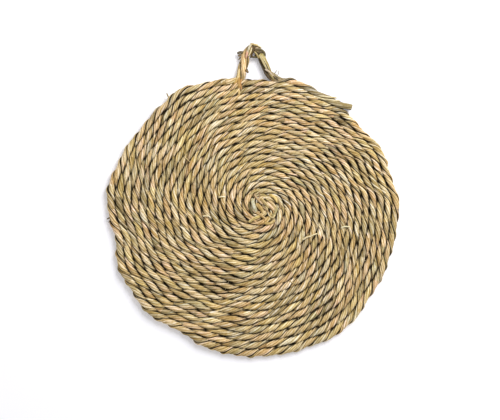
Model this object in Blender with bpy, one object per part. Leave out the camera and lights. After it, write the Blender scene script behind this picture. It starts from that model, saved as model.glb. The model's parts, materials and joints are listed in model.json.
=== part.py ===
# Round seat pad wound from one long two-ply rush rope, with a hanging loop at its rim.
#
# Frame: metres, the pad lies flat on z = 0, the loop points along +Y, and the origin
# is under the middle of the whole object's box.
#
# The winding: every point of a turn is eye + r * spread(angle).  r is the distance from
# the eye, and spread() moves the outer turns off the eye and makes them slightly oval.
# Two neighbouring turns differ by exactly one row pitch in r, so they never touch.

import math

import bmesh
import bpy
from mathutils import Vector

# The mat
ROW_PITCH = 0.0092          # from one turn of rope to the next
MAT_THICKNESS = 0.0100
TURNS = 17.5                # of rope, from the eye to the left root of the loop
START_RADIUS = 0.0172       # middle of the rope at its first turn
END_ANGLE = math.radians(101)       # where the last turn starts to leave the rim
EYE_SHIFT = (0.0588, 0.0672)        # shift of the eye for each metre of radius
OVAL = 0.0145               # how much wider the mat is than it is deep, as a share
SEAM_CLIMB = 0.3            # how much of each turn's climb falls beside the loop
STEPS_PER_TURN = 24

# The rope
ROW_GAP = 0.00048           # clear space between neighbouring turns
PLY_FLAT = 0.0046           # flat face along the outside of each ply
PLY_EDGE = 0.0006           # upright face where the two plies face each other
TWINE_DIAMETER = 0.0010
TWINE_CLEARANCE = 0.0003
TWINES = 8

# The loop and the tail
LOOP_ROOT_SPACING = 0.0360
LOOP_ROOT_X = -0.0080       # middle of the two roots, from the eye
LOOP_HEIGHT = 0.0305        # from the hinge line to the middle of the rope at the top
LOOP_TOP_X = -0.0105        # the top of the loop, from the eye
LEFT_LEAN = 0.33            # how far each leg leans in, for each metre that it rises
RIGHT_LEAN = -0.50
LOOP_ROPE_WIDTH = 0.0084
LOOP_ROPE_THICKNESS = 0.0088
ROOT_CLEARANCE = 0.0004     # between a fixed root and the loop's rounded root
ROOT_REACH = 0.0065         # how far the fixed roots stand out of the rim
TAIL_START_ANGLE = math.radians(74)
TAIL_END_ANGLE = math.radians(48)
TAIL_TIP_SHARE = 0.45       # width left at the cut tip of the tail
TAIL_TIP_LENGTH = 0.010

# The binding at the top of the loop
BINDING_LENGTH = 0.0120
BINDING_WALL = 0.0013
BINDING_CLEARANCE = 0.0003
BINDING_FLOOR_GAP = 0.0001  # under the band, where the loop lies on a surface
BINDING_PLACE = 0.45        # along the loop, as a share of its length

KNOT_MARGIN = 0.0004        # between the knot at the eye and the first turn

# Derived sizes
MID_HEIGHT = MAT_THICKNESS / 2
PLY_GAP = TWINE_DIAMETER + 2 * TWINE_CLEARANCE
FULL_TURN = 2 * math.pi
END_RADIUS = START_RADIUS + ROW_PITCH * TURNS
LAST_STEP = int(TURNS * STEPS_PER_TURN)

# Fineness of the curved stretches
SMALL_STEP = 0.002          # of a turn, to find which way a turn is heading
BEND_SHARE = 0.42           # pull of each end of a bend, as a share of its length
BEND_STEPS = 6
TAIL_STEPS = 3
LEG_STEPS = 10
ROUNDING_DEGREES = (80, 55, 30, 0)   # of the loop's roots, tip first
SHARP_ANGLE = math.radians(30)
TWINE_FACETS = 1

MATERIALS = {
    "straw": ((0.60, 0.47, 0.27, 1.0), 0.78),
    "olive_straw": ((0.45, 0.39, 0.22, 1.0), 0.80),
    "dry_fibre": ((0.33, 0.26, 0.15, 1.0), 0.85),
    "twine": ((0.70, 0.62, 0.45, 1.0), 0.90),
}


def clear_scene():
    for old in list(bpy.data.objects):
        bpy.data.objects.remove(old, do_unlink=True)


def material(name):
    found = bpy.data.materials.get(name)
    if found:
        return found
    colour, roughness = MATERIALS[name]
    made = bpy.data.materials.new(name)
    made.use_nodes = True
    shader = made.node_tree.nodes["Principled BSDF"]
    shader.inputs["Base Color"].default_value = colour
    shader.inputs["Roughness"].default_value = roughness
    shader.inputs["Metallic"].default_value = 0.0
    made.diffuse_color = colour
    return made


def spread(angle):
    """Direction and stretch of a turn at this angle, seen from the eye."""
    stretch = 1 + OVAL * math.cos(2 * angle)
    x = math.cos(angle) * stretch - EYE_SHIFT[0]
    y = math.sin(angle) * stretch - EYE_SHIFT[1]
    return Vector((x, y))


def angle_at(turn):
    """Turns run outwards clockwise and end at END_ANGLE."""
    return END_ANGLE + FULL_TURN * (TURNS - turn)


def radius_at(turn):
    """The climb of one pitch a turn, faster beside the loop than across from it."""
    wave = math.sin(FULL_TURN * (turn - TURNS)) / FULL_TURN
    return START_RADIUS + ROW_PITCH * (turn + SEAM_CLIMB * wave)


def turn_at(angle):
    """The turn number at an angle past END_ANGLE, on the outermost course."""
    return TURNS + (END_ANGLE - angle) / FULL_TURN


def winding(turn, offset=0.0):
    """A point of the mat, offset outwards across the row."""
    return (radius_at(turn) + offset) * spread(angle_at(turn))


def coil_turns():
    """Turn numbers of the stations: whole steps back from the end of the last turn."""
    return [TURNS - step / STEPS_PER_TURN for step in range(LAST_STEP, -1, -1)]


def new_object(name, mesh, material_name):
    mesh.materials.append(material(material_name))
    mesh.shade_smooth()
    mesh.set_sharp_from_angle(angle=SHARP_ANGLE)
    made = bpy.data.objects.new(name, mesh)
    bpy.context.scene.collection.objects.link(made)
    return made


def solid_from_rings(name, rings, material_name, hollow=False):
    """Skin a row of equal rings.  A solid one is capped, a hollow one joins its ends."""
    bm = bmesh.new()
    loops = [[bm.verts.new(point) for point in ring] for ring in rings]
    count = len(rings[0])
    pairs = list(zip(loops, loops[1:]))
    if hollow:
        pairs.append((loops[-1], loops[0]))
    for first, second in pairs:
        for i in range(count):
            j = (i + 1) % count
            bm.faces.new((first[i], first[j], second[j], second[i]))
    if not hollow:
        bm.faces.new(loops[0])
        bm.faces.new(loops[-1])
    bmesh.ops.recalc_face_normals(bm, faces=bm.faces)
    mesh = bpy.data.meshes.new(name)
    bm.to_mesh(mesh)
    bm.free()
    return new_object(name, mesh, material_name)


def ply_profile(half_width, half_height, upper, share=1.0):
    """Half of a pressed rope in section, as (across, up) from the rope's middle."""
    side = 1 if upper else -1
    inner = PLY_GAP / 2
    outer = inner + (half_height - inner) * share
    flat = min(PLY_FLAT / 2, half_width - PLY_EDGE) * share
    return [
        (-half_width, side * inner),
        (half_width, side * inner),
        (half_width, side * min(inner + PLY_EDGE, outer)),
        (flat, side * outer),
        (-flat, side * outer),
        (-half_width, side * min(inner + PLY_EDGE, outer)),
    ]


def row_half_width():
    return (ROW_PITCH - ROW_GAP) / 2


def row_ring(turn, upper, eye, share=1.0):
    """One section of a ply in a row of the mat; across the row is along spread()."""
    ring = []
    for across, up in ply_profile(row_half_width() * share, MAT_THICKNESS / 2, upper):
        flat = winding(turn, across)
        ring.append((eye.x + flat.x, eye.y + flat.y, MID_HEIGHT + up))
    return ring


def path_ring(point, across_way, half_width, half_height, upper, share=1.0):
    """One section of a ply on a free path, its width along across_way."""
    ring = []
    for across, up in ply_profile(half_width, half_height, upper, share):
        place = point + across_way * across
        ring.append((place.x, place.y, place.z + up))
    return ring


def left_of(along):
    """Level and square to a path, on its left: outwards on a clockwise turn."""
    return Vector((-along.y, along.x, 0)).normalized()


def bezier(a, b, c, d, steps, first=0, last=0):
    """Points and directions on a cubic curve, leaving out some steps at each end."""
    found = []
    for step in range(first, steps + 1 - last):
        t = step / steps
        s = 1 - t
        point = s ** 3 * a + 3 * s * s * t * b + 3 * s * t * t * c + t ** 3 * d
        along = 3 * s * s * (b - a) + 6 * s * t * (c - b) + 3 * t * t * (d - c)
        found.append((point, along.normalized()))
    return found


def root_points(eye):
    """Tops of the two fixed roots, and the two ends of the hinge line, left and right."""
    half = LOOP_ROOT_SPACING / 2
    rim_turn = turn_at(math.pi / 2) - 1
    rim_y = winding(rim_turn, ROW_PITCH / 2).y
    top_y = eye.y + rim_y + ROOT_REACH
    hinge_y = top_y + ROOT_CLEARANCE + LOOP_ROPE_THICKNESS / 2
    left_x = eye.x + LOOP_ROOT_X - half
    right_x = eye.x + LOOP_ROOT_X + half
    tops = [Vector((x, top_y, MID_HEIGHT)) for x in (left_x, right_x)]
    hinges = [Vector((x, hinge_y, MID_HEIGHT)) for x in (left_x, right_x)]
    return tops, hinges


def root_half_width():
    """The rope of a root is as wide as the narrower of its two neighbours."""
    return min(row_half_width(), LOOP_ROPE_WIDTH / 2)


def whole_box():
    """Lowest and highest x and y of the whole object, with the eye at zero."""
    eye = Vector((0, 0))
    half = row_half_width()
    points = [winding(turn, half) for turn in coil_turns()[-STEPS_PER_TURN:]]
    points += [winding(turn_at(TAIL_END_ANGLE), half)]
    hinges = root_points(eye)[1]
    binding_half = LOOP_ROPE_WIDTH / 2 + BINDING_CLEARANCE + BINDING_WALL
    top_y = hinges[0].y + LOOP_HEIGHT + binding_half
    xs = [p.x for p in points]
    ys = [p.y for p in points] + [top_y]
    return min(xs), max(xs), min(ys), max(ys)


def eye_place():
    """The eye's place once the origin is under the middle of the whole box."""
    x0, x1, y0, y1 = whole_box()
    return Vector((-(x0 + x1) / 2, -(y0 + y1) / 2))


def root_section(top, lean, behind, half_width, half_height, upper, side=1, share=1.0):
    """A section in the plane of the hinge line, a little way behind it."""
    place = top - Vector((lean, 1, 0)) * behind
    across_way = Vector((-side, 0, 0))
    return path_ring(place, across_way, half_width, half_height, upper, share)


def make_coil_ply(name, upper, eye, material_name):
    """One ply from the eye to the last turn's end, then out to the left root."""
    rings = [row_ring(turn, upper, eye) for turn in coil_turns()]
    end = winding(TURNS)
    heading = (end - winding(TURNS - SMALL_STEP)).normalized()
    start = Vector((eye.x + end.x, eye.y + end.y, MID_HEIGHT))
    top = root_points(eye)[0][0]
    reach = (top - start).length * BEND_SHARE
    leave = start + Vector((heading.x, heading.y, 0)) * reach
    arrive = top - Vector((LEFT_LEAN, 1, 0)).normalized() * reach
    half = root_half_width()
    bend = bezier(start, leave, arrive, top, BEND_STEPS, first=1, last=1)
    for step, (point, along) in enumerate(bend):
        across_way = left_of(along).lerp(Vector((-1, 0, 0)), (step + 1) / BEND_STEPS)
        rings.append(path_ring(point, across_way, half, MAT_THICKNESS / 2, upper))
    rings.append(root_section(top, LEFT_LEAN, 0, half, MAT_THICKNESS / 2, upper))
    return solid_from_rings(name, rings, material_name)


def make_tail_ply(name, upper, eye, material_name):
    """One ply from the right root down to the rim, then along it to the cut tip."""
    top = root_points(eye)[0][1]
    first = turn_at(TAIL_START_ANGLE)
    last = turn_at(TAIL_END_ANGLE)
    begin = winding(first)
    heading = (winding(first + SMALL_STEP) - begin).normalized()
    rim = Vector((eye.x + begin.x, eye.y + begin.y, MID_HEIGHT))
    reach = (rim - top).length * BEND_SHARE
    leave = top - Vector((RIGHT_LEAN, 1, 0)).normalized() * reach
    arrive = rim - Vector((heading.x, heading.y, 0)) * reach
    half = root_half_width()
    rings = [root_section(top, RIGHT_LEAN, 0, half, MAT_THICKNESS / 2, upper, side=-1)]
    bend = bezier(top, leave, arrive, rim, BEND_STEPS, first=1, last=1)
    for step, (point, along) in enumerate(bend):
        across_way = Vector((1, 0, 0)).lerp(left_of(along), (step + 1) / BEND_STEPS)
        rings.append(path_ring(point, across_way, half, MAT_THICKNESS / 2, upper))
    taper = last - TAIL_TIP_LENGTH / (FULL_TURN * END_RADIUS)
    for step in range(TAIL_STEPS + 1):
        rings.append(row_ring(first + (taper - first) * step / TAIL_STEPS, upper, eye))
    rings.append(row_ring(last, upper, eye, TAIL_TIP_SHARE))
    return solid_from_rings(name, rings, material_name)


def loop_path(eye):
    """Middle line of the loop's rope from the left hinge point to the right one."""
    left, right = root_points(eye)[1]
    lift = max(0.0, binding_half_height() + BINDING_FLOOR_GAP - MID_HEIGHT)
    top = Vector((eye.x + LOOP_TOP_X, left.y + LOOP_HEIGHT, MID_HEIGHT + lift))
    side = Vector((LOOP_ROPE_WIDTH, 0, 0))
    half_way = LOOP_HEIGHT / 2
    left_rise = Vector((LEFT_LEAN * half_way, half_way, lift))
    right_rise = Vector((RIGHT_LEAN * half_way, half_way, lift))
    rising = bezier(left, left + left_rise, top - side, top, LEG_STEPS)
    falling = bezier(top, top + side, right + right_rise, right, LEG_STEPS)
    return rising + falling[1:]


def rounded_root(place, lean, side, upper):
    """Sections that round the end of a leg about the hinge line, tip first."""
    half_width = LOOP_ROPE_WIDTH / 2
    half_height = LOOP_ROPE_THICKNESS / 2
    rings = []
    for degrees in ROUNDING_DEGREES:
        angle = math.radians(degrees)
        behind = half_height * math.sin(angle)
        share = math.cos(angle)
        rings.append(root_section(place, lean, behind, half_width, half_height, upper, side, share))
    return rings


def make_loop_ply(name, upper, eye, material_name):
    """One ply of the hanging loop, its two ends rounded about the hinge line."""
    path = loop_path(eye)
    half_width = LOOP_ROPE_WIDTH / 2
    half_height = LOOP_ROPE_THICKNESS / 2
    rings = rounded_root(path[0][0], LEFT_LEAN, 1, upper)
    for point, along in path[1:-1]:
        rings.append(path_ring(point, left_of(along), half_width, half_height, upper))
    rings += reversed(rounded_root(path[-1][0], RIGHT_LEAN, -1, upper))
    return solid_from_rings(name, rings, material_name)


def binding_half_height():
    return LOOP_ROPE_THICKNESS / 2 + BINDING_CLEARANCE + BINDING_WALL


def binding_ring(point, along, room):
    """The outline of both plies together, with this much room all round."""
    across_way = left_of(along)
    high = LOOP_ROPE_THICKNESS / 2 + room
    low = PLY_GAP / 2 + PLY_EDGE + room / 2
    wide = LOOP_ROPE_WIDTH / 2 + room
    narrow = PLY_FLAT / 2 + room / 2
    corners = [(wide, low), (narrow, high), (-narrow, high), (-wide, low)]
    corners += [(-across, -up) for across, up in corners]
    ring = []
    for across, up in corners:
        place = point + across_way * across
        ring.append((place.x, place.y, place.z + up))
    return ring


def make_binding(name, eye, material_name):
    """A hollow band of wound fibre round the rope at the top of the loop."""
    path = loop_path(eye)
    lengths = [0.0]
    for (a, _), (b, _) in zip(path, path[1:]):
        lengths.append(lengths[-1] + (b - a).length)
    middle = lengths[-1] * BINDING_PLACE
    near = [i for i, s in enumerate(lengths) if abs(s - middle) <= BINDING_LENGTH / 2]
    stations = [path[i] for i in near]
    full = BINDING_CLEARANCE + BINDING_WALL
    outer = [binding_ring(point, along, full) for point, along in stations]
    inner = [binding_ring(point, along, BINDING_CLEARANCE) for point, along in reversed(stations)]
    return solid_from_rings(name, outer + inner, material_name, hollow=True)


def make_centre_knot(name, eye, material_name):
    """The knotted start of the rope: it fills the snail-shaped space inside turn one."""
    first_turn = coil_turns()[0]
    turns = [first_turn + step / STEPS_PER_TURN for step in range(STEPS_PER_TURN)]
    inset = row_half_width() + ROW_GAP + KNOT_MARGIN
    outline = [winding(turn, -inset) for turn in turns]
    bm = bmesh.new()
    low = [bm.verts.new((eye.x + p.x, eye.y + p.y, 0.0)) for p in outline]
    face = bm.faces.new(low)
    made = bmesh.ops.extrude_face_region(bm, geom=[face])
    top = [v for v in made["geom"] if isinstance(v, bmesh.types.BMVert)]
    bmesh.ops.translate(bm, verts=top, vec=(0, 0, MAT_THICKNESS))
    bmesh.ops.recalc_face_normals(bm, faces=bm.faces)
    mesh = bpy.data.meshes.new(name)
    bm.to_mesh(mesh)
    bm.free()
    return new_object(name, mesh, material_name)


def outermost_turn(angle):
    """The turn number of the outermost rope at this angle, the tail included."""
    past_end = (END_ANGLE - angle) % FULL_TURN
    turn = TURNS + past_end / FULL_TURN
    if turn_at(TAIL_START_ANGLE) < turn < turn_at(TAIL_END_ANGLE):
        return turn
    return turn - 1


def make_twine(name, angle, eye, material_name):
    """A straight stitch through every turn, between the two plies of the rope."""
    outer_turn = outermost_turn(angle)
    rows_crossed = math.floor(outer_turn - coil_turns()[0])
    outer = winding(outer_turn)
    inner = winding(outer_turn - rows_crossed)
    curve = bpy.data.curves.new(name, "CURVE")
    curve.dimensions = "3D"
    spline = curve.splines.new("POLY")
    spline.points.add(1)
    spline.points[0].co = (inner.x, inner.y, 0, 1)
    spline.points[1].co = (outer.x, outer.y, 0, 1)
    curve.bevel_depth = TWINE_DIAMETER / 2
    curve.bevel_resolution = TWINE_FACETS
    curve.use_fill_caps = True
    curve.materials.append(material(material_name))
    made = bpy.data.objects.new(name, curve)
    made.location = (eye.x, eye.y, MID_HEIGHT)
    bpy.context.scene.collection.objects.link(made)
    return made


def hang_on(parent, pieces):
    """Parent pieces to an empty and keep them where they are."""
    bpy.context.view_layer.update()
    for piece in pieces:
        piece.parent = parent
        piece.matrix_parent_inverse = parent.matrix_world.inverted()


def main():
    clear_scene()
    eye = eye_place()
    make_centre_knot("centre_knot", eye, "dry_fibre")
    make_coil_ply("coil_ply_upper", True, eye, "straw")
    make_coil_ply("coil_ply_lower", False, eye, "olive_straw")
    make_tail_ply("tail_ply_upper", True, eye, "olive_straw")
    make_tail_ply("tail_ply_lower", False, eye, "straw")
    for number in range(TWINES):
        angle = FULL_TURN * (number + 0.5) / TWINES
        make_twine("sewing_twine_%02d" % (number + 1), angle, eye, "twine")
    loop = [
        make_loop_ply("loop_ply_upper", True, eye, "straw"),
        make_loop_ply("loop_ply_lower", False, eye, "olive_straw"),
        make_binding("loop_binding", eye, "dry_fibre"),
    ]
    hinges = root_points(eye)[1]
    pivot = bpy.data.objects.new("loop_pivot", None)
    pivot.location = (hinges[0] + hinges[1]) / 2
    bpy.context.scene.collection.objects.link(pivot)
    hang_on(pivot, loop)


main()
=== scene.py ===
import json
import math

import bpy
import numpy as np
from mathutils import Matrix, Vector


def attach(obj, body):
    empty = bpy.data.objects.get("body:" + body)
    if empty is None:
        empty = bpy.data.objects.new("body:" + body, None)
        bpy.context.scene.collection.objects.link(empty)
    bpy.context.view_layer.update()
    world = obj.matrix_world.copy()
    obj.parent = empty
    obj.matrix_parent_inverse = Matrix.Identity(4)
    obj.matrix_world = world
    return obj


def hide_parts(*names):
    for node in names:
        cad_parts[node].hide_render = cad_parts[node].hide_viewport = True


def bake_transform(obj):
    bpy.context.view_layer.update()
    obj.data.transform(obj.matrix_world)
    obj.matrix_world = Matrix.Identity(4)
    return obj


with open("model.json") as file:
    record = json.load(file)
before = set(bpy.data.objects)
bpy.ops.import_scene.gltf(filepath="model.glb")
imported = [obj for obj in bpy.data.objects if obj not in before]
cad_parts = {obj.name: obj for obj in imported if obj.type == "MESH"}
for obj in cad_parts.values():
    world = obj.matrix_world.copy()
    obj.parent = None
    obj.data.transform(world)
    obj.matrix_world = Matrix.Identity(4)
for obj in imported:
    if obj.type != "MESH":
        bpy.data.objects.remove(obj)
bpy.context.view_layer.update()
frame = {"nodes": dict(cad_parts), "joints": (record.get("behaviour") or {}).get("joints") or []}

fullTurn = 2 * math.pi
millimetre = 0.001
upWay = np.array([0.0, 0.0, 1.0])
tiny = 1e-9             # keeps a division clear of zero

# The winding, as the CAD has it: a place on a turn is eye + radius * spread(angle)
mat = {
    "rowPitch": 0.0092,
    "turns": 17.5,
    "innerTurns": 1.45,                 # wound tighter and tighter inside the first turn
    "startRadius": 0.0172,
    "endAngle": math.radians(101),      # where the last turn leaves the rim
    "eyeShift": (0.0588, 0.0672),
    "oval": 0.0145,
    "seamClimb": 0.3,
    "midHeight": 0.0051,
    "thickness": 0.0104,
    "rootX": 0.0080,                    # the hinge line's middle, from the eye
    "rootReach": 0.0113,                # the hinge line, from the rim
    "knotNarrow": 0.15,                 # how much narrower and flatter the rope is at the eye
    "knotFlat": 0.12,
    "waveReach": 1.05,                  # where the rim's waves stop growing, as a share of the rim
    "waveFade": 3,                      # how steeply they die away towards the eye
    "coarseSteps": 9600,                # of the winding, before it is divided evenly
}

# Bulges and hollows of the rim: angle and spread in degrees, depth in millimetres
rimWaves = [
    (7, 7, 4.2), (28, 5, 4.0), (61, 8, -6.2), (101, 6, -3.6), (120, 6, 4.0),
    (142, 8, -3.8), (168, 6, 2.4), (189, 8, -6.4), (212, 8, -2.2), (236, 10, -7.0), (255, 7, -2.2),
    (302, 7, 3.0), (314, 6, 3.0), (341, 8, -1.6),
]


def turnRadius(turn):
    # climbs one pitch a turn, a little faster beside the loop
    wave = np.sin(fullTurn * (turn - mat["turns"])) / fullTurn
    return mat["startRadius"] + mat["rowPitch"] * (turn + mat["seamClimb"] * wave)


def turnAngle(turn):
    return mat["endAngle"] + fullTurn * (mat["turns"] - turn)


def turnOf(degrees):
    return mat["turns"] + (mat["endAngle"] - math.radians(degrees)) / fullTurn


def rimShift(angle, radius):
    # sum of bell curves round the rim, dying away towards the eye
    shift = np.zeros_like(angle)
    rim = turnRadius(mat["turns"])
    for place, width, depth in rimWaves:
        off = (np.degrees(angle) - place + 180) % 360 - 180
        shift = shift + depth * millimetre * np.exp(-(off / width) ** 2)
    return shift * np.clip(radius / rim, 0, mat["waveReach"]) ** mat["waveFade"]


def windingPoint(turn):
    # radius * (cos a (1 + oval cos 2a) - shiftX, sin a (1 + oval cos 2a) - shiftY), from the eye
    turn = np.asarray(turn, float)
    angle = turnAngle(turn)
    radius = turnRadius(turn)
    radius = radius + rimShift(angle, radius)
    stretch = 1 + mat["oval"] * np.cos(2 * angle)
    x = radius * (np.cos(angle) * stretch - mat["eyeShift"][0])
    y = radius * (np.sin(angle) * stretch - mat["eyeShift"][1])
    return np.stack([x, y], -1)


def rimHeight():
    # the rim under the loop, without the waves, as the CAD has it
    radius = turnRadius(turnOf(90) - 1) + mat["rowPitch"] / 2
    return float(radius * (1 - mat["oval"] - mat["eyeShift"][1]))


hinge = np.array(frame["joints"][0]["pos_m"], float)
eye = np.array([hinge[0] + mat["rootX"], hinge[1] - mat["rootReach"] - rimHeight()])
print("eye of the winding at", np.round(eye, 4))

# Camera first: straight above, +Y up
camera = {"lens": 85.0, "sensor": 36.0, "across": 0.625, "fromEye": (-0.0150, -0.0037)}


def makeCamera():
    data = bpy.data.cameras.new("camera")
    data.lens = camera["lens"]
    data.sensor_width = camera["sensor"]
    away = camera["across"] * camera["lens"] / camera["sensor"]
    made = bpy.data.objects.new("camera", data)
    made.location = (eye[0] + camera["fromEye"][0], eye[1] + camera["fromEye"][1],
                     away + mat["thickness"])
    bpy.context.scene.collection.objects.link(made)
    bpy.context.scene.camera = made


makeCamera()


def arcLength(points):
    steps = np.linalg.norm(np.diff(points, axis=0), axis=1)
    return np.concatenate([[0.0], np.cumsum(steps)])


def evenly(points, spacing):
    # the same line with its points a fixed distance apart
    along = arcLength(points)
    count = max(4, int(round(along[-1] / spacing)) + 1)
    wanted = np.linspace(0, along[-1], count)
    return np.stack([np.interp(wanted, along, points[:, k]) for k in range(points.shape[1])], 1)


def smoothLine(knots, perSpan=24):
    # Catmull-Rom curve through the knots, straight on past its two ends
    p = np.asarray(knots, float)
    p = np.vstack([2 * p[0] - p[1], p, 2 * p[-1] - p[-2]])
    f = np.linspace(0, 1, perSpan, endpoint=False)[:, None]
    spans = []
    for a, b, c, d in zip(p[:-3], p[1:-2], p[2:-1], p[3:]):
        spans.append(0.5 * (2 * b + (c - a) * f + (2 * a - 5 * b + 4 * c - d) * f ** 2
                            + (3 * b - a - 3 * c + d) * f ** 3))
    return np.vstack(spans + [p[-2][None]])


def eased(share):
    # from 0 to 1, level at both ends: 3 s^2 - 2 s^3
    return share * share * (3 - 2 * share)


def wander(along, step, amount, seed):
    # random values every step metres, joined by smooth ramps
    rng = np.random.default_rng(seed)
    place = (along - along.min()) / step
    knots = rng.uniform(-1, 1, int(place.max()) + 3)
    low = np.floor(place).astype(int)
    part = eased(place - low)
    return amount * (knots[low] * (1 - part) + knots[low + 1] * part)


def sidesOf(line):
    heading = np.gradient(line, axis=0)
    side = np.stack([-heading[:, 1], heading[:, 0], np.zeros(len(line))], 1)
    return side / np.maximum(np.linalg.norm(side, axis=1), tiny)[:, None]


endDepth, endOpen = 0.6, 0.3        # painted-shade values at the middle of a tube's closed end


# A tube's grid has one row for each station and one column for each place round its section
def closedTube(grid, u, v, depth, paintedExposure, tint):
    # quads between the rows, and a fan of triangles to a middle point at each end
    rows, columns = grid.shape[:2]
    index = np.arange(rows * columns).reshape(rows, columns)
    right = np.roll(index, -1, axis=1)
    quads = np.stack([index[:-1], index[1:], right[1:], right[:-1]], -1).reshape(-1, 4)
    shape = (rows - 1, columns)
    corner = [(u[:-1], v[:-1]), (u[:-1], v[1:]), (u[1:], v[1:]), (u[1:], v[:-1])]
    quadUv = np.stack([np.stack([np.broadcast_to(cu, shape),
                                 np.broadcast_to(cv[:, None], shape)], -1)
                       for cu, cv in corner], 2)
    firstHub, lastHub = rows * columns, rows * columns + 1
    fanLow = np.stack([np.full(columns, firstHub), index[0], right[0]], -1)
    fanHigh = np.stack([np.full(columns, lastHub), right[-1], index[-1]], -1)
    fanUv = [np.stack([np.stack([u[:-1], np.full(columns, end)], -1)] * 3, 1) for end in (v[0], v[-1])]
    tint = np.broadcast_to(tint, (rows, columns, 4)).reshape(-1, 4)
    return {
        "points": np.vstack([grid.reshape(-1, 3), grid[0].mean(0), grid[-1].mean(0)]),
        "faces": quads.tolist() + fanLow.tolist() + fanHigh.tolist(),
        "uv": np.vstack([part.reshape(-1, 2) for part in (quadUv, *fanUv)]),
        "depth": np.concatenate([depth.ravel(), [endDepth] * 2]),
        "open": np.concatenate([paintedExposure.ravel(), [endOpen] * 2]),
        "tint": np.vstack([tint, tint[0], tint[-1]]),
    }


def makePiece(name, tubes):
    # several closed tubes in one mesh, with their map and their painted-shade values
    faces, base = [], 0
    for tube in tubes:
        faces += [[base + k for k in face] for face in tube["faces"]] if base else tube["faces"]
        base += len(tube["points"])
    joined = {key: np.concatenate([tube[key] for tube in tubes])
              for key in ("points", "uv", "depth", "open", "tint")}
    mesh = bpy.data.meshes.new(name)
    mesh.from_pydata(joined["points"].tolist(), [], faces)
    mesh.uv_layers.new(name="leaf").data.foreach_set("uv", joined["uv"].astype(np.float32).ravel())
    for key in ("depth", "open"):
        layer = mesh.attributes.new(key, "FLOAT", "POINT")
        layer.data.foreach_set("value", joined[key].astype(np.float32))
    layer = mesh.attributes.new("tint", "FLOAT_COLOR", "POINT")
    layer.data.foreach_set("color", joined["tint"].astype(np.float32).ravel())
    mesh.shade_smooth()
    mesh.update()
    made = bpy.data.objects.new(name, mesh)
    bpy.context.scene.collection.objects.link(made)
    return made


# One twisted ply of rope: a bundle of leaves whose section turns once a lay round the rope's
# middle line. In units of the rope's half width and height the section is
#   (0.5 + thick f(cos a), wide sin a), times a leaf ridge that dips where two leaves meet;
# f squares the side that faces the other ply, and a ply is pressed wider where it lies under.
# A point is open where it faces up above the middle or down below it, and at the rim also outwards; the
# material paints shade where a point is not open, and deep near the rope's middle
rope = {
    "lay": 0.0392,              # one full twist, left-handed
    "leaves": 5,                # leaves round a ply
    "perLeaf": 5,               # columns for each leaf
    "thick": 0.56,
    "wide": 0.78,
    "squared": 0.6,             # 1 leaves the section an ellipse
    "pressed": 0.62,
    "crowding": 1.00,           # how much wider than its row the rope is
    "creaseDepth": 0.20,
    "creaseSharp": 3,
    "ownTwist": -4.0,           # radians a metre that the leaves turn in their ply
    "spacing": 0.0016,
    "lastTurn": 1.06,           # metres of rope in the outermost turn
    "openOver": 0.02,
    "dwell": 0.14,              # how much longer a ply stays on top than it takes to cross
    "leastStep": 0.5,           # radians from the coil's twist to the loop's first crossing
    "smoothOver": 11,           # stations
    "floorGap": 0.0003,
    "floorSoft": 0.0004,        # how gently a ply flattens on the floor
    "seeds": (100, 150),
    "mapWidth": 8,              # room for one ply's leaves on the map
    # random drifts: one value every so many metres, and how much
    "leafTurn": (0.05, 0.6),
    "leafBulge": (0.028, 0.10),
    "bulgeApart": 0.006,        # so that each leaf has a step of its own
    "swell": (0.021, 0.16),
    "spread": (0.027, 0.09),
    "layDrift": (0.13, 0.16),
    "phaseDrift": (0.08, 1.05),
}


def plyTube(which, stations, tint=(0, 0, 0, 0), size=1.0):
    length = arcLength(line)
    leaves, perLeaf, seed = rope["leaves"], rope["perLeaf"], rope["seeds"][which]
    c = np.arange(leaves * perLeaf) / perLeaf
    leaf = np.floor(c).astype(int)
    arch = np.sin(math.pi * (c - leaf))
    crease = (1 - arch) ** rope["creaseSharp"]
    bulgeStep, bulgeMost = rope["leafBulge"]
    bulge = np.stack([wander(length, bulgeStep + rope["bulgeApart"] * k, bulgeMost, seed + 31 * k)
                      for k in range(leaves)], 1)[:, leaf] * arch
    turn = rope["ownTwist"] * length + wander(length, *rope["leafTurn"], seed + 7)
    a = fullTurn * c[None] / leaves + turn[:, None]
    ridge = 1 - rope["creaseDepth"] * crease[None] + bulge
    swell = 1 + wander(length, *rope["swell"], seed + 3)[:, None]
    spread = 1 + wander(length, *rope["spread"], seed + 5)[:, None]
    p = (phase + math.pi * which)[:, None]
    facing = np.where(np.cos(a) < 0, -np.abs(np.cos(a)) ** rope["squared"], np.cos(a))
    under = np.clip(-np.sin(p), 0, 1)
    out = 0.5 + rope["thick"] * swell * facing * ridge
    across = rope["wide"] * spread * (1 + rope["pressed"] * under) * np.sin(a) * ridge
    size = np.broadcast_to(size, length.shape)[:, None]
    x = (out * np.cos(p) - across * np.sin(p)) * size
    z = (out * np.sin(p) + across * np.cos(p)) * size
    grid = (line[:, None] + side[:, None] * (x * halfWidth[:, None])[..., None]
            + upWay * (z * halfHeight[:, None])[..., None])
    above = grid[..., 2] - rope["floorGap"]
    grid[..., 2] = rope["floorGap"] + 0.5 * (above + np.sqrt(above ** 2 + rope["floorSoft"] ** 2))
    keep = slice(*stations)
    u = rope["mapWidth"] * which + np.arange(leaves * perLeaf + 1) / perLeaf
    tint = np.asarray(tint, float)
    if tint.ndim == 2:
        tint = tint[keep, None]
    # depth from the rope's middle and how open each point is; the material paints shade from both
    depth = np.sqrt(x ** 2 + z ** 2)
    stepX = np.roll(x, -1, 1) - np.roll(x, 1, 1)
    stepZ = np.roll(z, -1, 1) - np.roll(z, 1, 1)
    stepLength = np.maximum(np.hypot(stepX, stepZ), tiny)
    sideOpen = np.where(x > 0, outwardOpen[:, None], freeShare[:, None])
    paintedExposure = (sideOpen * x * stepZ - z * stepX) / stepLength
    return closedTube(grid[keep], u, length[keep], depth[keep], paintedExposure[keep], tint)


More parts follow.
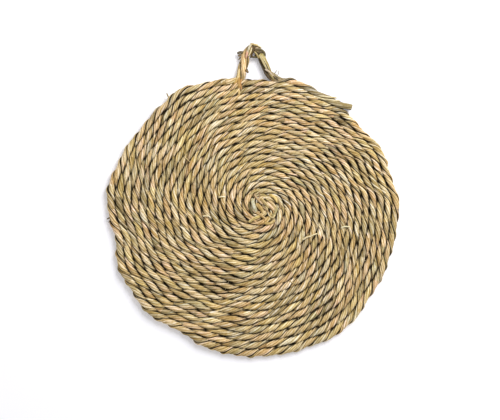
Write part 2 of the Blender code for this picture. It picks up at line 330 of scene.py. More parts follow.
# A single flat leaf or cut strand along its own line: an ellipse width by thickness, turned by
# its lean, and drawn in towards both ends
strand = {
    "spacing": 0.0008,
    "perSpan": 12,
    "sides": 10,
    "taperShare": 0.16,         # of the length, at each end
    "tip": 0.35,                # width left at the ends
    "groove": 0.12,
    "grooves": 3,
    "tintShare": 0.85,
    "open": (0.55, 0.45),       # middle and swing of the painted-shade value round the section: lighter on top, darker underneath
    "mapStart": 20.0,           # its leaves on the map, clear of the rope's
    "mapSpan": 40,
    "mapLeaves": 2,
    "mapShift": 0.01,
    "lean": (0.01, 0.5),        # random drifts, as for the rope
    "swell": (0.006, 0.12),
}


def strandTube(knots, width, thickness, colour, seed, tip=strand["tip"]):
    line = evenly(smoothLine(knots, strand["perSpan"]), strand["spacing"])
    along = arcLength(line)
    place = along / along[-1]
    heading = np.gradient(line, axis=0)
    heading /= np.linalg.norm(heading, axis=1)[:, None]
    side = np.cross(upWay, heading)
    side /= np.maximum(np.linalg.norm(side, axis=1), tiny)[:, None]
    top = np.cross(heading, side)
    angle = wander(along, *strand["lean"], seed)
    flat = side * np.cos(angle)[:, None] + top * np.sin(angle)[:, None]
    rise = top * np.cos(angle)[:, None] - side * np.sin(angle)[:, None]
    ends = np.clip(np.minimum(place, 1 - place) / strand["taperShare"], 0, 1)
    taper = tip + (1 - tip) * ends * (2 - ends)
    taper = taper * (1 + wander(along, *strand["swell"], seed + 1))
    sides = strand["sides"]
    a = fullTurn * np.arange(sides) / sides
    groove = 1 - strand["groove"] * np.cos(strand["grooves"] * a)
    x = width / 2 * taper[:, None] * (np.cos(a) * groove)[None]
    z = thickness / 2 * taper[:, None] * (np.sin(a) * groove)[None]
    grid = line[:, None] + flat[:, None] * x[..., None] + rise[:, None] * z[..., None]
    u = strand["mapStart"] + seed % strand["mapSpan"] + leafMap(sides)
    tint = np.array([*srgb(*colour)[:3], strand["tintShare"]])
    # painted shade: a strand is painted lighter on top and darker underneath
    depth = np.full((len(line), sides), 1.0)
    middle, swing = strand["open"]
    level = np.broadcast_to(middle + swing * np.sin(a), (len(line), sides))
    return closedTube(grid, u, along + strand["mapShift"] * seed, depth, level, tint)


def leafMap(sides):
    # places across a strand's leaves for each column, the first one again at the end
    return np.arange(sides + 1) / sides * strand["mapLeaves"]


def srgb(red, green, blue):
    def linear(value):
        value = value / 255
        return value / 12.92 if value <= 0.04045 else ((value + 0.055) / 1.055) ** 2.4
    return (linear(red), linear(green), linear(blue), 1.0)


# The loop and the tail: the middle of the rope in millimetres from the eye
loop = {
    "leadIn": (112, 109.5, 107, 104.5, 102),    # degrees round the rim, on the way to the left root
    "knots": [(-37.5, 156.9), (-32.0, 157.4), (-27.8, 160.0), (-25.6, 165.2), (-24.1, 171.0),
              (-23.2, 177.0), (-22.4, 183.0), (-21.2, 189.0), (-18.2, 194.8), (-13.4, 198.4),
              (-7.6, 198.6), (-2.8, 194.8), (0.0, 188.6), (2.3, 182.2), (4.5, 176.0),
              (7.1, 170.0), (10.8, 164.8), (16.6, 160.6), (25.0, 157.6)],
    "width": [(-0.02, 0.0044), (0.012, 0.0050), (0.024, 0.0056), (0.036, 0.0046), (0.060, 0.0042),
              (0.100, 0.0044), (0.116, 0.0048), (0.134, 0.0046)],   # half, metres along
    "height": 0.0043,
    "leaveBefore": 0.004,       # how the rope's size changes from the coil's and back, in metres
    "leaveOver": 0.02,
    "returnShare": 0.2,
    "sag": 0.0004,
    "leafSeed": 301,
    "leaves": [    # extra leaves on the right leg and the roots: line, width, thickness, colour, tip
        ([(-3.4, 191.6, 7.6), (0.6, 185.6, 8.8), (4.2, 178.4, 8.9), (8.6, 171.4, 8.2)],
         4.6, 1.8, (178, 164, 118), 0.6),
        ([(2.6, 189.4, 6.6), (5.2, 183.2, 7.6), (8.0, 176.8, 7.8), (10.6, 170.6, 7.2)],
         2.8, 1.8, (176, 162, 106), 0.6),
        ([(0.6, 185.8, 9.2), (4.6, 178.9, 9.7), (8.0, 172.6, 9.3), (9.4, 169.6, 8.6)],
         1.3, 0.9, (58, 44, 14), 0.6),
        ([(3.6, 172.6, 9.2), (8.0, 170.0, 10.2), (12.4, 165.8, 10.0), (17.8, 161.8, 8.8)],
         2.6, 1.8, (178, 160, 134), 0.5),
        ([(8.4, 167.8, 9.0), (12.0, 163.6, 10.2), (15.6, 159.4, 9.0)], 2.2, 1.6, (150, 138, 92), 0.5),
        ([(-28.2, 173.0, 6.6), (-29.0, 166.4, 8.0), (-30.0, 161.0, 8.0)], 3.2, 2.2, (224, 198, 140), 0.6),
    ],
    "twistBefore": 0.02,        # where the loop's own twist starts, before the coil's end
    # where each crossing falls, metres along from the coil's end, and ply A's turn in quarter
    # twists: 0 left of the line, -1 under, -2 right, -3 on top
    "twist": [(0.000, 1.0), (0.016, 0.2), (0.026, -0.2), (0.040, -1.0), (0.053, -1.9),
              (0.064, -2.8), (0.074, -3.4), (0.086, -3.5), (0.102, -3.8), (0.112, -4.6),
              (0.122, -5.5), (0.1375, -7.0), (0.153, -8.1), (0.166, -9.0), (0.178, -9.9),
              (0.190, -10.7), (0.200, -11.2), (0.216, -11.35)],
}
tail = {
    "knots": [(33.0, 156.2), (40.0, 155.2), (47.0, 152.8), (60.3, 145.8), (73.5, 138.6),
              (82.0, 134.4), (90.0, 130.4), (98.5, 127.0), (106.5, 124.4), (113.6, 122.4)],
    "tipWidth": 0.92,
    "tipSwell": 0.26,           # the cut end is loose and fatter
    "swellFrom": 0.026,
    "swellOver": 0.010,
    "tipLength": 0.006,
    "shortPly": 0.010,          # how much sooner the second ply is cut
}


def ropeCourse():
    # knot, coil, loop and tail as one line, with the places where one becomes the next
    lead = [windingPoint(turnOf(degrees)) for degrees in loop["leadIn"]]
    wound = windingPoint(np.linspace(-mat["innerTurns"], turnOf(loop["leadIn"][0]), mat["coarseSteps"]))
    bend = np.array(loop["knots"]) * millimetre
    free = smoothLine(np.vstack([lead, bend, np.array(tail["knots"]) * millimetre]))
    line = evenly(np.vstack([wound[:-1], free]) + eye, rope["spacing"])

    def nearest(place, start=0):
        return start + int(np.argmin(np.linalg.norm(line[start:] - (place + eye), axis=1)))

    late = len(line) * 9 // 10      # the loop and the tail lie in the last tenth
    places = nearest(windingPoint(0.0)), nearest(lead[-1], late), nearest(bend[-1], late)
    return (np.column_stack([line, np.full(len(line), mat["midHeight"])]), arcLength(line), *places)


line, along, knotEnd, coilEnd, tailStart = ropeCourse()
side = sidesOf(line)
print("rope: %.2f m, coil ends at %.2f m, tail starts at %.2f m"
      % (along[-1], along[coilEnd], along[tailStart]))


def ropeSizes():
    # half the rope's width and height: half a row in the coil, a little less in the loop
    fromEye = line[:, :2] - eye
    angle = np.arctan2(fromEye[:, 1], fromEye[:, 0])
    row = mat["rowPitch"] / 2 * rope["crowding"] * (1 - mat["eyeShift"][0] * np.cos(angle)
                                                    - mat["eyeShift"][1] * np.sin(angle))
    free = np.clip((along - along[coilEnd] + loop["leaveBefore"]) / loop["leaveOver"], 0, 1)
    free = free * np.clip((along[tailStart] - along) / loop["leaveOver"] + loop["returnShare"], 0, 1)
    free = eased(free)
    place, wide = np.array(loop["width"]).T
    width = row * (1 - free) + np.interp(along - along[coilEnd], place, wide) * free
    height = mat["thickness"] / 2 * (1 - free) + loop["height"] * free
    inward = np.clip((along[knotEnd] - along) / along[knotEnd], 0, 1)
    return width * (1 - mat["knotNarrow"] * inward), height * (1 - mat["knotFlat"] * inward), free


def ropePhase():
    # a left-handed twist that drifts a little, then the loop's own crossings
    lay = rope["lay"] * (1 + wander(along, *rope["layDrift"], 13))
    phase = -fullTurn * np.cumsum(np.gradient(along) / lay)
    phase = phase + wander(along, *rope["phaseDrift"], 14)
    start = along[coilEnd] - loop["twistBefore"]
    place, quarter = np.array(loop["twist"]).T
    before = phase[np.searchsorted(along, start)]
    wanted = quarter * math.pi / 2
    wanted = wanted + fullTurn * math.floor((before - wanted[0] - rope["leastStep"]) / fullTurn)
    knotPlace = np.concatenate([[start], along[coilEnd] + place])
    knotPhase = np.concatenate([[before], wanted])
    special = np.interp(along, knotPlace, knotPhase)
    beyond = np.clip(along - knotPlace[-1], 0, None) * fullTurn / rope["lay"]
    phase = np.where(along < start, phase, special - beyond)
    window = np.hanning(rope["smoothOver"])
    padded = np.pad(phase, rope["smoothOver"] // 2, mode="edge")
    phase = np.convolve(padded, window / window.sum(), mode="valid")
    return phase + rope["dwell"] * np.sin(2 * phase)


halfWidth, halfHeight, freeShare = ropeSizes()
phase = ropePhase()
# the outer side of the outermost turn is counted open, so no shade is painted on it
outwardOpen = np.clip((along - along[coilEnd] + rope["lastTurn"]) / rope["openOver"], 0, 1)
coil = {
    "split": 0.5,               # where each ply is divided into two pieces, as a share of the coil
    # ripples of the rows: waves round the mat, millimetres and start in radians
    "ripples": [(5, 0.6, 0.0), (9, 0.5, 1.0), (14, 0.45, 2.2), (23, 0.35, 4.0), (37, 0.25, 5.1)],
    "rippleTurn": 0.55,         # radians from row to row for nine waves, the rest by their root
    "rippleReach": 0.12,        # full size from here outwards
    "sideDrift": (0.04, 0.00022),
    "heightDrift": (0.06, 0.0005),
    "patchColours": ((160, 149, 120), (207, 183, 144), (216, 192, 146)),
    "patchDrift": (0.9, 1.0),
    "tintDrift": (0.35, 0.55),
    "tintFrom": 0.1,
    "tintMost": 0.4,
}
gapShadeStrip = {                      # a dark strip between the rows: painted shade in the row gaps, which also hides the floor there
    "halfWidth": 0.0017,
    "halfHeight": 0.0011,
    "level": 0.0030,
    "sides": 8,
    "everyStation": 2,
    "swell": (0.013, 0.2),
    "colour": (60, 44, 20),
    "tintShare": 0.9,
    "mapStart": 17.0,
}


def rowRipple():
    # sum of sines round the mat that shift slowly from row to row, so that neighbours stay together
    fromEye = line[:, :2] - eye
    angle = np.unwrap(np.arctan2(fromEye[:, 1], fromEye[:, 0]))
    turn = (angle[0] - angle) / fullTurn
    reach = np.clip(np.linalg.norm(fromEye, axis=1) / coil["rippleReach"], 0, 1)
    total = sum(size * np.sin(count * angle + start + coil["rippleTurn"] * turn * math.sqrt(count) / 3)
                for count, size, start in coil["ripples"])
    return total * millimetre * reach * (1 - freeShare)


line = line + side * (rowRipple() + wander(along, *coil["sideDrift"], 11))[:, None]
line[:, 2] += wander(along, *coil["heightDrift"], 12) - loop["sag"] * freeShare


def coilTint():
    # slow patches round the mat that lean to olive, brown or straw
    patch = wander(along, *coil["patchDrift"], 61)
    near = np.stack([np.interp(patch, (-1, 0, 1), [srgb(*colour)[k] for colour in coil["patchColours"]])
                     for k in range(3)], 1)
    share = np.clip(np.abs(wander(along, *coil["tintDrift"], 62)) - coil["tintFrom"], 0, coil["tintMost"])
    return np.column_stack([near, share])


def makeCoil():
    half = knotEnd + int((coilEnd - knotEnd) * coil["split"])
    made = []
    for which, letter in enumerate("AB"):
        for part, cut in (("Inner", (knotEnd, half + 1)), ("Outer", (half, coilEnd + 1))):
            piece = makePiece("coilPly%s%s" % (letter, part), [plyTube(which, cut, coilTint())])
            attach(piece, "mat")
            made.append(piece)
    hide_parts("coil_ply_upper")
    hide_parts("coil_ply_lower")
    return made


def makeGapShadeStrip():
    # an ellipse carried half a row inside the rope's middle line, low down, coloured as painted shade
    keep = slice(knotEnd, coilEnd, gapShadeStrip["everyStation"])
    course = line[keep] - side[keep] * (halfWidth[keep] / rope["crowding"])[:, None]
    course[:, 2] = gapShadeStrip["level"]
    sides = gapShadeStrip["sides"]
    a = fullTurn * np.arange(sides) / sides
    swell = 1 + wander(along[keep], *gapShadeStrip["swell"], 71)[:, None]
    grid = (course[:, None] + side[keep][:, None] * (gapShadeStrip["halfWidth"] * swell * np.cos(a))[..., None]
            + upWay * (gapShadeStrip["halfHeight"] * swell * np.sin(a))[..., None])
    full = np.ones(grid.shape[:2])
    tint = np.array([*srgb(*gapShadeStrip["colour"])[:3], gapShadeStrip["tintShare"]])
    tube = closedTube(grid, gapShadeStrip["mapStart"] + leafMap(sides), along[keep], full, full, tint)
    piece = makePiece("rowFiller", [tube])
    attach(piece, "mat")
    return piece


coilPieces = [*makeCoil(), makeGapShadeStrip()]
print("coil: %d stations" % (coilEnd - knotEnd))


def paintAlong(knots):
    # colours at places along the loop, blended between them
    place = along[coilEnd] + np.array([k[0] for k in knots])
    values = np.array([[*srgb(*k[1])[:3], k[2]] for k in knots])
    return np.stack([np.interp(along, place, values[:, k]) for k in range(4)], 1)


# Colours of the loop and the tail, ply A and ply B: metres along, colour, how much it covers. Ply B's last
# stretch, under the tail's cut end, is painted near black as painted shadow under the last lobe
loopPaint = [paintAlong([
    (0.000, (226, 200, 146), 0.2), (0.018, (220, 196, 138), 0.8), (0.046, (214, 184, 128), 0.8),
    (0.054, (214, 162, 142), 0.9), (0.064, (204, 164, 138), 0.85), (0.074, (196, 182, 128), 0.8),
    (0.080, (186, 174, 116), 0.9), (0.102, (166, 150, 106), 0.9), (0.110, (96, 84, 58), 0.8),
    (0.127, (128, 114, 88), 0.8), (0.134, (232, 194, 152), 0.8), (0.146, (226, 190, 148), 0.8),
    (0.160, (150, 138, 108), 0.7), (0.184, (158, 148, 116), 0.8), (0.202, (160, 150, 122), 0.8),
    (0.220, (150, 142, 112), 0.8)]), paintAlong([
    (0.000, (214, 186, 138), 0.2), (0.014, (160, 146, 108), 0.7), (0.024, (166, 146, 110), 0.8),
    (0.032, (236, 202, 150), 0.9), (0.052, (232, 198, 148), 0.9), (0.060, (128, 116, 88), 0.8),
    (0.070, (84, 74, 54), 0.9), (0.084, (80, 66, 44), 0.9), (0.102, (78, 64, 48), 0.9),
    (0.110, (184, 166, 142), 0.9), (0.122, (168, 156, 132), 0.8), (0.128, (92, 86, 60), 0.8),
    (0.150, (112, 104, 74), 0.8), (0.158, (164, 158, 140), 0.8), (0.172, (156, 148, 128), 0.8),
    (0.182, (120, 104, 66), 0.8), (0.192, (58, 44, 20), 0.9), (0.220, (40, 30, 12), 0.9)])]


def placed(knots):
    # millimetres from the eye, with the height above the table, to metres
    p = np.array(knots, float) * millimetre
    p[:, :2] += eye
    return p


def strandTubes(rows, seed):
    return [strandTube(placed(knots), width * millimetre, thickness * millimetre, colour,
                       seed=seed + 7 * number, tip=tip)
            for number, (knots, width, thickness, colour, tip) in enumerate(rows)]


def makeLoopRope():
    cut = (coilEnd, tailStart + 1)
    tubes = [plyTube(which, cut, paint) for which, paint in enumerate(loopPaint)]
    tubes += strandTubes(loop["leaves"], loop["leafSeed"])
    piece = makePiece("loopRope", tubes)
    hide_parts("loop_ply_upper", "loop_ply_lower")
    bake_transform(piece)
    return piece


loopRope = makeLoopRope()


def makeTail():
    made = []
    for which, letter in enumerate("AB"):
        stop = int(np.searchsorted(along, along[-1] - tail["shortPly"] * which))
        ends = np.clip((along[stop - 1] - along) / tail["tipLength"], 0, 1)
        size = tail["tipWidth"] + (1 - tail["tipWidth"]) * np.sqrt(ends * (2 - ends))
        late = np.clip((along - along[-1] + tail["swellFrom"]) / tail["swellOver"], 0, 1)
        size = size * (1 + tail["tipSwell"] * eased(late))
        piece = makePiece("tailPly" + letter, [plyTube(which, (tailStart, stop), loopPaint[which], size)])
        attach(piece, "mat")
        made.append(piece)
    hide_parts("tail_ply_upper")
    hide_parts("tail_ply_lower")
    return made


tailPieces = makeTail()
print("loop and tail made")


# The folded start of the rope at the eye: its tight inner turn and short leaves over it
knot = {
    "seed": 3,
    "strands": [   # line, width, thickness, colour
        ([(-12.5, 11, 8.6), (-10.5, 3, 10.2), (-7, -7.5, 9.0)], 5.0, 2.4, (188, 184, 154)),
        ([(-17.5, 8.5, 7.6), (-15.6, 0, 9.4), (-11, -10, 7.8)], 2.8, 2.0, (108, 106, 76)),
        ([(-2.5, 12.0, 8.6), (3.7, 5.4, 10.8), (10, -1.2, 9.2)], 4.4, 2.2, (236, 218, 180)),
        ([(8.5, 15.5, 8.2), (15.5, 12.5, 10.2), (20.5, 5.0, 8.4)], 3.6, 2.2, (226, 196, 120)),
        ([(4.5, 6.2, 8.6), (10.4, 1.2, 10.4), (15.6, -5, 8.6)], 4.4, 2.6, (226, 190, 148)),
        ([(6.4, -2.5, 9.4), (9.2, -10.4, 10.8), (14, -12.8, 10.6), (17.6, -6.2, 9.2)],
         2.0, 1.6, (236, 220, 180)),
        ([(-17, -19, 8.8), (-8.7, -13.7, 10.6), (-1.0, -11.0, 9.0)], 3.6, 2.2, (226, 206, 146)),
        ([(-3.0, 19.0, 9.4), (-3.2, 15.2, 10.2), (-4.0, 11.5, 9.4)], 2.6, 1.8, (132, 98, 62)),
        ([(-7.2, 5.0, 9.0), (-1.2, -2, 10.4), (3.4, -9.4, 8.8)], 4.8, 2.6, (216, 190, 140)),
        ([(18.6, 3, 8.0), (17.2, -6, 9.6), (9.5, -16.0, 8.2)], 3.6, 2.4, (158, 148, 104)),
        ([(-8.6, 13.0, 8.6), (0, 15.4, 10.0), (8.0, 12.0, 8.6)], 3.2, 2.2, (196, 182, 138)),
        ([(-8.4, -6, 9.0), (-2, -9.8, 10.0), (5.4, -15.6, 8.8)], 3.4, 2.2, (196, 166, 122)),
        ([(1.5, 3, 9.2), (-5, 9.0, 10.2), (-10, 16, 8.8)], 2.8, 1.8, (184, 154, 118)),
        # the three broad dark pieces low under the others are painted shade in the eye's hollow
        ([(-2, -4, 6.0), (1, 0, 6.4), (3, 5, 6.0)], 9.0, 4.0, (112, 90, 56)),
        ([(-12, 2, 4.6), (-5, 7, 5.2), (2, 12, 4.6)], 8.0, 4.0, (84, 66, 36)),
        ([(-10, -5, 4.6), (-4, -3, 5.2), (3, -3, 4.6)], 8.0, 4.0, (84, 66, 36)),
        ([(-21, -5, 9.2), (-14, -12.5, 10.2), (-7, -18.5, 9.0)], 3.2, 2.0, (214, 176, 130)),
        ([(2, -19.5, 9.2), (9.4, -20.4, 10.2), (16.4, -16.4, 9.0)], 3.4, 2.0, (206, 182, 130)),
        ([(17.6, 12.2, 9.0), (22.2, 4.4, 10.2), (23.4, -3.6, 9.0)], 3.0, 2.0, (176, 150, 112)),
        ([(-16.4, 14.6, 9.2), (-9.4, 19.8, 10.2), (-0.6, 21.6, 9.0)], 3.0, 2.0, (206, 190, 146)),
        ([(-1.0, 1.0, 9.8), (5.6, -3.4, 10.8), (9.6, -9.4, 9.6)], 2.2, 1.6, (164, 132, 88)),
        ([(10.4, 7.6, 9.6), (5.6, 10.6, 10.4), (1.0, 16.8, 9.2)], 2.4, 1.6, (214, 196, 150)),
    ],
}


def makeKnot():
    tubes = [plyTube(which, (0, knotEnd + 1)) for which in (0, 1)]
    for number, (knots, width, thickness, colour) in enumerate(knot["strands"], knot["seed"]):
        tubes.append(strandTube(placed(knots), width * millimetre, thickness * millimetre, colour, number))
    piece = makePiece("centreKnot", tubes)
    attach(piece, "mat")
    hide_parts("centre_knot")
    return piece


centreKnot = makeKnot()

# The top of the loop: crossing strands that bind it, and dark cut ends beside it
binding = {
    "strands": [   # line, width, thickness, colour, tip
        ([(-19.0, 187.0, 6.0), (-17.6, 194.0, 9.8), (-15.0, 201.0, 10.0), (-12.6, 205.2, 7.0)],
         3.4, 1.6, (176, 164, 130), 0.4),
        ([(-14.6, 204.6, 8.2), (-10.4, 203.4, 10.2), (-5.0, 202.0, 10.2), (-0.6, 199.8, 8.0)],
         2.6, 1.6, (226, 208, 164), 0.5),
        ([(-14.0, 186.8, 7.0), (-12.2, 193.6, 9.8), (-9.4, 201.0, 10.2), (-6.6, 203.4, 7.6)],
         3.2, 1.6, (66, 50, 28), 0.4),
        ([(-9.6, 197.4, 9.8), (-3.0, 197.4, 10.4), (2.4, 194.2, 10.0), (4.4, 189.0, 7.6)],
         2.6, 1.8, (104, 94, 66), 0.4),
        ([(-9.0, 189.6, 6.5), (-5.6, 192.4, 9.6), (-2.0, 194.0, 9.8), (2.6, 193.8, 7.6)],
         3.0, 1.6, (60, 44, 26), 0.4),
        ([(-9.4, 194.6, 9.8), (-6.4, 190.6, 9.8), (-3.8, 186.0, 7.8)], 2.2, 1.5, (196, 180, 132), 0.4),
        ([(-17.0, 188.6, 8.8), (-14.6, 193.4, 10.2), (-12.6, 199.4, 9.8)], 2.2, 1.6, (230, 212, 168), 0.4),
        ([(-13.6, 188.6, 5.0), (-9.6, 188.0, 7.4), (-5.0, 188.6, 5.0)], 2.4, 1.8, (58, 62, 40), 0.5),
        ([(-12.6, 201.8, 6.0), (-8.6, 200.0, 8.0), (-4.0, 198.0, 6.0)], 3.0, 2.4, (84, 72, 48), 0.5),
        ([(-20.2, 186.4, 8.6), (-19.0, 192.0, 10.0), (-17.4, 197.0, 9.4)], 3.0, 1.8, (214, 166, 146), 0.5),
    ],
    "tufts": [
        ([(-23.6, 193.4, 6.4), (-27.0, 194.0, 6.0), (-31.0, 192.6, 5.4)], 2.8, 1.8, (66, 54, 34), 0.9),
        ([(-23.6, 191.6, 6.0), (-27.2, 190.8, 5.4), (-29.8, 189.2, 4.8)], 2.6, 1.6, (84, 72, 48), 0.9),
        ([(-24.0, 190.2, 5.2), (-27.0, 187.6, 4.8), (-29.4, 184.8, 4.2)], 1.6, 1.2, (140, 130, 104), 0.8),
        ([(-24.4, 181.8, 5.4), (-26.6, 181.4, 5.4), (-28.2, 180.6, 5.0)], 2.2, 1.8, (46, 32, 16), 0.9),
        ([(-21.6, 172.2, 7.0), (-19.4, 170.6, 7.0), (-17.0, 168.6, 6.0)], 2.4, 1.8, (100, 74, 40), 0.9),
        ([(-20.8, 174.4, 6.0), (-19.0, 172.6, 6.2), (-17.8, 170.0, 5.4)], 2.0, 1.6, (60, 44, 22), 0.9),
    ],
}


def strandSet(name, rows, seed, body, node=None):
    piece = makePiece(name, strandTubes(rows, seed))
    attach(piece, body)
    if node:
        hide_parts(node)
    return piece


loopBinding = strandSet("loopBinding", binding["strands"], 41, "loop", "loop_binding")
loopTufts = strandSet("loopTufts", binding["tufts"], 83, "loop")

# Cut ends along the rope: fanned ends on the tail, light sewing ends, tufts on the rim
cutEnds = {
    "rootStrands": [
        ([(-28.4, 162.6, 7.2), (-29.4, 157.4, 9.6), (-28.8, 151.8, 9.8), (-28.4, 146.4, 6.0)],
         3.8, 2.2, (232, 196, 146), 0.6),
        ([(-25.6, 160.4, 7.2), (-27.0, 155.6, 9.6), (-26.4, 150.0, 9.6), (-25.4, 144.2, 5.6)],
         2.8, 2.0, (206, 156, 110), 0.6),
        ([(-31.4, 161.6, 7.0), (-32.8, 156.8, 9.2), (-35.4, 151.6, 6.4)], 3.0, 2.0, (226, 196, 132), 0.6),
        ([(-28.6, 147.6, 7.4), (-28.8, 142.6, 9.6), (-29.6, 137.4, 6.0)], 3.0, 2.0, (216, 190, 138), 0.6),
    ],
    "tailFan": [
        ([(61, 142.6, 7.6), (74, 138.8, 9.8), (93.4, 136.6, 9.0)], 2.0, 1.4, (236, 228, 200), 0.8),
        # the thin dark strands between the light ones are painted shade in the gaps between them
        ([(66, 139.6, 7.6), (78, 136.5, 9.7), (91.5, 135.2, 8.8)], 0.9, 1.2, (48, 38, 18), 0.7),
        ([(64, 139.0, 7.6), (78, 134.9, 9.9), (97.4, 132.8, 9.2)], 2.2, 1.5, (214, 200, 158), 0.8),
        ([(70, 135.0, 7.6), (80, 132.6, 9.4), (88, 130.2, 8.0)], 1.3, 1.2, (52, 40, 20), 0.7),
        ([(13.5, 166.8, 6.4), (16.6, 168.4, 7.4), (18.4, 171.6, 8.0)], 0.8, 0.7, (120, 112, 84), 0.5),
        ([(17.0, 163.8, 7.4), (20.2, 166.0, 8.0), (21.0, 171.0, 7.6)], 0.7, 0.6, (130, 122, 92), 0.4),
        ([(12.4, 168.6, 8.6), (18.5, 163.6, 10.0), (27.0, 159.4, 8.8)], 2.4, 1.6, (146, 134, 108), 0.5),
        ([(20.0, 158.6, 7.6), (27.0, 154.4, 9.0), (36.0, 151.6, 7.4)], 1.8, 1.4, (36, 28, 14), 0.5),
        ([(5.4, 167.0, 9.0), (7.8, 163.2, 10.9), (10.8, 159.4, 9.2)], 3.0, 1.6, (22, 16, 7), 0.5),
        ([(13.0, 164.6, 9.2), (16.4, 161.4, 10.9), (20.6, 158.4, 9.4)], 2.0, 1.4, (26, 20, 9), 0.5),
    ],
    "sewing": [
        ([(-54.0, 12.0, 10.2), (-50.0, 12.9, 10.9), (-46.2, 12.4, 10.2)], 2.2, 1.4, (240, 230, 200), 0.8),
        ([(-74.0, -11.4, 10.2), (-70.6, -10.7, 10.8), (-67.2, -11.2, 10.2)], 2.2, 1.4, (240, 228, 200), 0.8),
        ([(50.6, -41.0, 9.8), (56.0, -37.4, 11.0), (62.0, -36.0, 10.2)], 2.2, 1.4, (236, 220, 180), 0.7),
        ([(59.6, -37.4, 10.2), (64.4, -34.6, 11.0), (69.0, -33.2, 9.8)], 2.0, 1.4, (230, 214, 170), 0.7),
        ([(98.4, -26.4, 9.8), (103.6, -24.2, 11.0), (110.2, -25.0, 9.8)], 1.9, 1.3, (230, 222, 184), 0.7),
        ([(-27.5, 74.0, 10.2), (-23.0, 71.8, 10.9), (-19.5, 70.6, 10.0)], 1.2, 1.0, (216, 202, 160), 0.6),
        ([(-97.0, 62.0, 10.2), (-93.0, 59.4, 10.9), (-90.4, 56.4, 10.0)], 1.2, 1.0, (214, 198, 156), 0.6),
        ([(34.0, -92.0, 10.2), (38.4, -94.6, 10.9), (42.6, -95.4, 10.0)], 1.2, 1.0, (220, 204, 160), 0.6),
    ],
    "rimTufts": [
        ([(-186.5, -12.4, 6.0), (-190.6, -13.4, 6.0), (-194.4, -15.2, 5.4)], 1.8, 1.3, (70, 60, 40), 0.6),
        ([(-186.5, -14.8, 5.2), (-190.0, -16.6, 5.0), (-192.6, -19.4, 4.6)], 1.2, 1.0, (110, 98, 68), 0.6),
        ([(-115.0, 135.0, 7.0), (-117.8, 138.6, 7.4), (-119.4, 142.6, 7.0)], 1.6, 1.2, (150, 134, 92), 0.6),
    ],
}
rootStrands = strandSet("rootStrands", cutEnds["rootStrands"], 231, "mat")
tailFan = strandSet("tailCutEnds", cutEnds["tailFan"], 131, "mat")
sewingEnds = strandSet("sewingEnds", cutEnds["sewing"], 171, "mat")
rimTufts = strandSet("rimTufts", cutEnds["rimTufts"], 211, "mat")
print("knot, binding and cut ends made")

# Materials: every rush piece reads its own map, u across the leaves and v in metres along
rush = {
    "colours": [(0.00, (128, 110, 80)), (0.09, (168, 155, 120)), (0.22, (230, 201, 153)),
                (0.36, (192, 186, 152)), (0.50, (248, 226, 188)), (0.64, (238, 200, 165)),
                (0.80, (232, 209, 142)), (1.00, (255, 243, 216))],
    # the next colour is the painted shade in the gaps between plies and rows
    "gap": (26, 15, 2),
    "plyShare": 0.58,
    "leafLength": 0.050,
    "plyLength": 0.8,           # of a ply's patch of colour, in lays
    "plySeed": 3.5,
    "openAt": (0.08, 0.74),
    "creaseAt": (0.34, 0.5),    # from a leaf's middle, in leaves: where painted shade in the crease between two leaves starts and is full
    # noise drawn along the leaves: how fine across them and, in 1 / metre, along them, its place,
    # its detail and its roughness
    "fibre": (2.6, 46.0, 0.0, 3.5, 0.7),
    "fleck": (2.0, 420.0, 7.0, 2.0, 0.5),
    # what each mask does: its low and high value, and the shade at each
    "fibreShade": (0.30, 0.62, 0.58, 1.12),
    "fleckShade": (0.30, 0.62, 0.86, 1.04),
    "toneShade": (0.0, 1.0, 0.84, 1.10),
    # the crease mask paints shade into the creases between leaves
    "creaseShade": (0.0, 1.0, 1.0, 0.46),
    "roughness": (0.3, 0.7, 0.80, 0.58),
    "warmGreen": 1.32,          # darkened places, the painted crease shade among them, turn browner
    "warmBlue": 2.35,
    "specular": 0.22,
    "bumpDepth": 0.0006,
    "finishes": {               # seed of the leaves, depth from the rope's middle at which the painted gap shade ends, that shade's share, bump
        "rushCoil": (0.0, (0.12, 0.55), 0.96, 0.6),
        "rushLoop": (4.0, (0.36, 0.76), 0.75, 0.6),
        "rushStrand": (9.0, (0.0, 0.1), 0.45, 0.5),
    },
}


def addNode(tree, kind, settings=None, **inputs):
    node = tree.nodes.new(kind)
    for key, value in (settings or {}).items():
        setattr(node, key, value)
    for key, value in inputs.items():
        socket = node.inputs[int(key[1:]) if key[0] == "i" and key[1:].isdigit() else key]
        if isinstance(value, bpy.types.NodeSocket):
            tree.links.new(value, socket)
        else:
            socket.default_value = value
    return node


def maths(tree, operation, a, b=0.0):
    return addNode(tree, "ShaderNodeMath", {"operation": operation}, i0=a, i1=b).outputs[0]


def ranged(tree, value, fromLow, fromHigh, toLow, toHigh):
    node = addNode(tree, "ShaderNodeMapRange", {"interpolation_type": "SMOOTHSTEP"},
                   i0=value, i1=fromLow, i2=fromHigh, i3=toLow, i4=toHigh)
    return node.outputs[0]


def mixed(tree, share, first, second, blend="MIX"):
    node = tree.nodes.new("ShaderNodeMix")
    node.data_type = "RGBA"
    node.blend_type = blend
    for number, value in ((0, share), (6, first), (7, second)):
        if isinstance(value, bpy.types.NodeSocket):
            tree.links.new(value, node.inputs[number])
        else:
            node.inputs[number].default_value = value
    return node.outputs[2]


def leafNoise(tree, u, v, across, along, height, detail, roughness):
    place = addNode(tree, "ShaderNodeCombineXYZ", X=maths(tree, "MULTIPLY", u, across),
                    Y=maths(tree, "MULTIPLY", v, along), Z=height).outputs[0]
    return addNode(tree, "ShaderNodeTexNoise", {"noise_dimensions": "3D"}, Vector=place,
                   Scale=1.0, Detail=detail, Roughness=roughness).outputs[0]


